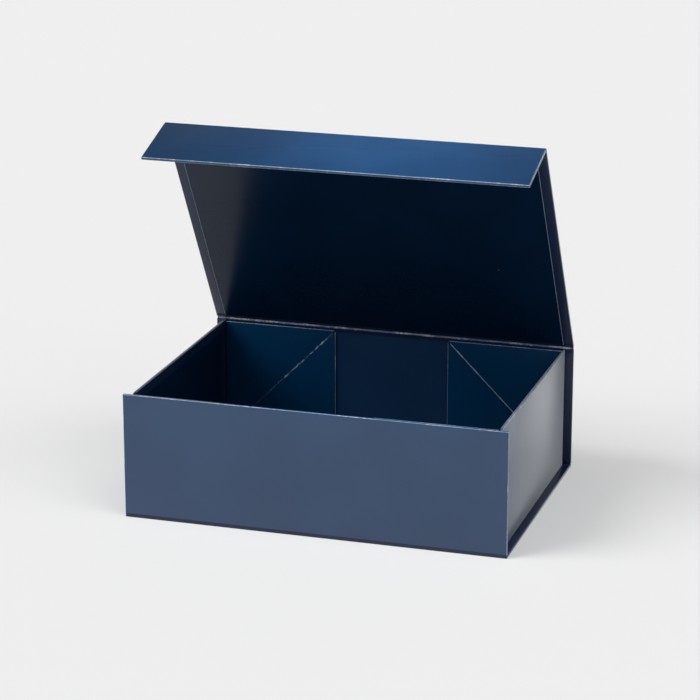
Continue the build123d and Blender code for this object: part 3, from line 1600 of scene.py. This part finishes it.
@dataclass(frozen=True)
class Snoot:
    """A narrow soft lamp high above the flap, which lights the box and not the floor.

    Its offset is how far it hangs to the right of the flap's middle.
    """

    name: str
    offset: float
    power: float
    height: float = 1.6
    setback: float = 0.03
    spread: float = 8.5
    radius: float = 0.08
    tint: tuple[float, float, float] = (0.85, 0.97, 1.0)

    def build(self, lit: bpy.types.Collection) -> None:
        """Adds the lamp.

        Args:
            lit: the pieces that the lamp lights.
        """
        fresh()
        low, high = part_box("flap_wrap")
        middle = (Vector(low) + Vector(high)) / 2
        place = middle + Vector((self.offset, self.setback, self.height))
        bpy.ops.object.light_add(type="SPOT", location=place)
        lamp = bpy.context.object
        lamp.name = self.name
        lamp.data.energy = self.power
        lamp.data.color = self.tint
        lamp.data.shadow_soft_size = self.radius
        lamp.data.spot_size = radians(self.spread)
        lamp.data.spot_blend = 1.0
        lamp.visible_glossy = False
        lamp.light_linking.receiver_collection = lit


@dataclass(frozen=True)
class Studio:
    """Pale floor, soft light and the camera."""

    dome: float = 0.1
    backdrop: float = 0.8
    backdrop_height: float = 15.0
    floor_tone: float = 0.875
    floor_glow: float = 0.3
    backdrop_tone: float = 0.885
    floor_size: float = 60.0
    floor_drop: float = 0.01 * MM
    suns: tuple[Sun, ...] = (
        Sun("key_sun", 1.9, -56.0, 41.0, 36.0),
        Sun("fill_sun", 1.05, 66.0, 44.0, 50.0),
        Sun("top_sun", 0.7, -15.0, 64.0, 70.0),
    )
    snoots: tuple[Snoot, ...] = (
        Snoot("middle_snoot", 0.0, 150.0),
        Snoot("right_snoot", 0.1, 115.0),
    )
    azimuth: float = 17.15
    elevation: float = 17.24
    camera_place: tuple[float, float, float] = (0.6599, -2.1501, 0.8249)
    focal_pixels: float = 2774.0
    image_pixels: float = 700.0
    sensor: float = 36.0
    sight: float = 200.0

    def build(self) -> None:
        """Builds the set round the box."""
        lit = self.box_pieces()
        self.world()
        self.floor()
        for sun in self.suns:
            sun.build()
        for snoot in self.snoots:
            snoot.build(lit)
        self.camera()
        bpy.context.scene.view_settings.view_transform = "Standard"

    def box_pieces(self) -> bpy.types.Collection:
        """Lists what the snoots light, before the floor is added.

        Returns:
            A collection of all the box's pieces.
        """
        lit = bpy.data.collections.new("snoot_lit")
        for piece in bpy.context.scene.objects:
            if piece.type == "MESH":
                lit.objects.link(piece)
        return lit

    def world(self) -> None:
        """A dim dome with a pale backdrop all round, up to a certain height above the floor."""
        world = bpy.data.worlds.new("dome")
        world.use_nodes = True
        bpy.context.scene.world = world
        sky = world.node_tree.nodes["Background"]
        sky.inputs["Color"].default_value = (1.0, 1.0, 1.0, 1.0)
        sheet = NodeSheet(world.node_tree)
        toward = sheet.add("ShaderNodeTexCoord").outputs["Object"]
        rise = sheet.add("ShaderNodeSeparateXYZ", None, Vector=toward).outputs["Z"]
        low, high = (sin(radians(self.backdrop_height * share)) for share in (0.5, 1.5))
        sheet.feed(sky.inputs["Strength"], sheet.span(rise, low, high, self.backdrop, self.dome))

    def floor(self) -> None:
        """A plain pale floor that takes the box's shadow and glows a little, to soften it."""
        fresh()
        bpy.ops.mesh.primitive_plane_add(size=self.floor_size, location=(0, 0, -self.floor_drop))
        ground = bpy.context.object
        ground.name = "studio_floor"
        material = bpy.data.materials.new("studio_floor_paint")
        material.use_nodes = True
        sheet = NodeSheet(material.node_tree)
        shader = material.node_tree.nodes["Principled BSDF"]
        tone = (self.floor_tone,) * 3 + (1.0,)
        shader.inputs["Roughness"].default_value = 1.0
        shader.inputs["Specular IOR Level"].default_value = 0.0
        path = sheet.add("ShaderNodeLightPath")
        seen = path.outputs["Is Camera Ray"]
        for kind in ("Is Glossy Ray", "Is Transmission Ray"):
            seen = sheet.math(seen, path.outputs[kind], Operation.MAXIMUM)
        share = sheet.math(seen, self.floor_glow, Operation.MULTIPLY)
        painted = tuple(c * (1 - self.floor_glow) for c in tone[:3]) + (1.0,)
        sheet.feed(shader.inputs["Base Color"], sheet.blend(seen, tone, painted))
        shader.inputs["Emission Color"].default_value = (self.backdrop_tone,) * 3 + (1.0,)
        sheet.feed(shader.inputs["Emission Strength"], share)
        ground.data.materials.append(material)

    def camera(self) -> None:
        """The camera at the photograph's angle."""
        fresh()
        az, el = radians(self.azimuth), radians(self.elevation)
        ahead = Vector((-sin(az) * cos(el), cos(az) * cos(el), -sin(el)))
        right = Vector((cos(az), sin(az), 0))
        up = right.cross(ahead)
        turn = Matrix([[right[i], up[i], -ahead[i]] for i in range(3)]).to_4x4()
        bpy.ops.object.camera_add()
        camera = bpy.context.object
        camera.name = "camera"
        camera.matrix_world = Matrix.Translation(self.camera_place) @ turn
        camera.data.sensor_width = self.sensor
        camera.data.lens = self.focal_pixels * self.sensor / self.image_pixels
        camera.data.clip_end = self.sight
        bpy.context.scene.camera = camera


def main() -> None:
    """Builds the finishes, the box and the studio, in that order."""
    logging.basicConfig(level=logging.INFO, format="%(name)s %(message)s")
    effects = Effects()
    for finish in FINISHES:
        finish.make(effects)
    sizes = BoxSizes.from_frame()
    LOG.info("sizes %s", sizes)
    GiftBox(sizes).build()
    Studio().build()


if __name__ == "__main__":
    main()
